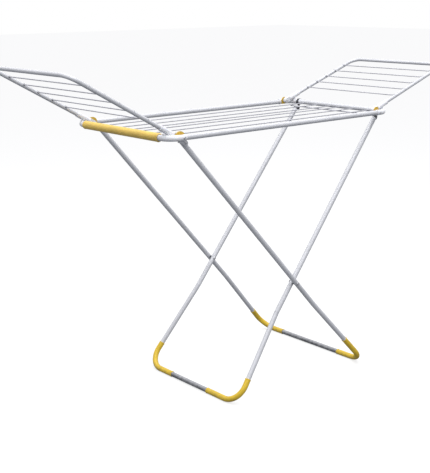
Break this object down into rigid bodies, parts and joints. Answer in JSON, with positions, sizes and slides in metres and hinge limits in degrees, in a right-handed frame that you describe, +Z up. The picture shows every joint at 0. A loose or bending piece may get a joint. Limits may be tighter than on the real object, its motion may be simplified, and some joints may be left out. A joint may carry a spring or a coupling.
{
  "type": "clothes drying rack",
  "caption": "Folding clothes airer: wire rack on crossed tube legs, with folding side wings, a carry grip, moulded corners and foot sleeves.",
  "frame": {"origin": "floor level, at the centre of the open airer's box", "axes": "+X along the rack from the grip end towards the hook end, +Y across it, +Z up"},
  "size_m": [1.793, 0.5814, 1.2143],
  "materials": {
    "coated_tube": "satin epoxy powder coat, silver grey",
    "coated_wire": "satin epoxy powder coat, silver grey",
    "fitting_white": "moulded, fine texture",
    "bracket_yellow": "moulded, satin",
    "grip_yellow": "moulded, satin",
    "foot_yellow": "moulded, satin",
    "hook_dark": "moulded, dark grey",
    "rivet_steel": "zinc plated"
  },
  "bodies": {
    "rack": {"end_tube_left": "coated_tube", "end_tube_right": "coated_tube", "side_rail_near": "coated_tube", "side_rail_far": "coated_tube", "elbow_left_near": "fitting_white", "elbow_left_far": "fitting_white", "elbow_right_near": "fitting_white", "elbow_right_far": "fitting_white", "carry_grip": "grip_yellow", "line_wire_1": "coated_wire", "line_wire_2": "coated_wire", "line_wire_3": "coated_wire", "line_wire_4": "coated_wire", "line_wire_5": "coated_wire", "line_wire_6": "coated_wire", "cross_tie_left": "coated_wire", "cross_tie_right": "coated_wire", "bracket_left_near": "bracket_yellow", "bracket_left_far": "bracket_yellow", "bracket_right_near": "bracket_yellow", "bracket_right_far": "bracket_yellow", "leg_plate_near": "coated_tube", "leg_plate_far": "coated_tube", "bracket_rivets": "rivet_steel", "wing_pins_left": "rivet_steel", "wing_pins_right": "rivet_steel", "leg_pins": "rivet_steel", "leg_hook_near": "hook_dark", "leg_hook_far": "hook_dark"},
    "outer_leg": {"outer_leg_near": "coated_tube", "outer_leg_far": "coated_tube", "outer_foot_frame": "coated_tube", "outer_foot_near": "foot_yellow", "outer_foot_far": "foot_yellow", "outer_leg_plugs": "hook_dark", "scissor_rivets": "rivet_steel", "scissor_spacers": "hook_dark"},
    "inner_leg": {"inner_leg_near": "coated_tube", "inner_leg_far": "coated_tube", "inner_foot_frame": "coated_tube", "inner_foot_near": "foot_yellow", "inner_foot_far": "foot_yellow", "inner_leg_caps": "hook_dark"},
    "wing_left": {"wing_frame_left": "coated_tube", "wing_shoe_left_near": "fitting_white", "wing_shoe_left_far": "fitting_white", "wing_wire_left_1": "coated_wire", "wing_wire_left_2": "coated_wire", "wing_wire_left_3": "coated_wire", "wing_wire_left_4": "coated_wire", "wing_wire_left_5": "coated_wire"},
    "wing_right": {"wing_frame_right": "coated_tube", "wing_shoe_right_near": "fitting_white", "wing_shoe_right_far": "fitting_white", "wing_wire_right_1": "coated_wire", "wing_wire_right_2": "coated_wire", "wing_wire_right_3": "coated_wire", "wing_wire_right_4": "coated_wire", "wing_wire_right_5": "coated_wire"}
  },
  "joints": [
    {"name": "rack_fold", "type": "hinge", "parent": "rack", "child": "outer_leg", "pos_m": [-0.46931, 0, 0.97], "axis": [0, -1, 0], "range_deg": [0, 47]},
    {"name": "scissor_fold", "type": "hinge", "parent": "outer_leg", "child": "inner_leg", "pos_m": [0.04783, 0, 0.39594], "axis": [0, -1, 0], "range_deg": [0, 80.75]},
    {"name": "wing_left_fold", "type": "hinge", "parent": "rack", "child": "wing_left", "pos_m": [-0.49651, 0, 0.9912], "axis": [0, 1, 0], "range_deg": [0, 146]},
    {"name": "wing_right_fold", "type": "hinge", "parent": "rack", "child": "wing_right", "pos_m": [0.46649, 0, 0.9992], "axis": [0, -1, 0], "range_deg": [0, 157]}
  ],
  "couplings": [
    {"joint": "scissor_fold", "follows": "rack_fold", "ratio": 1.7118}
  ]
}
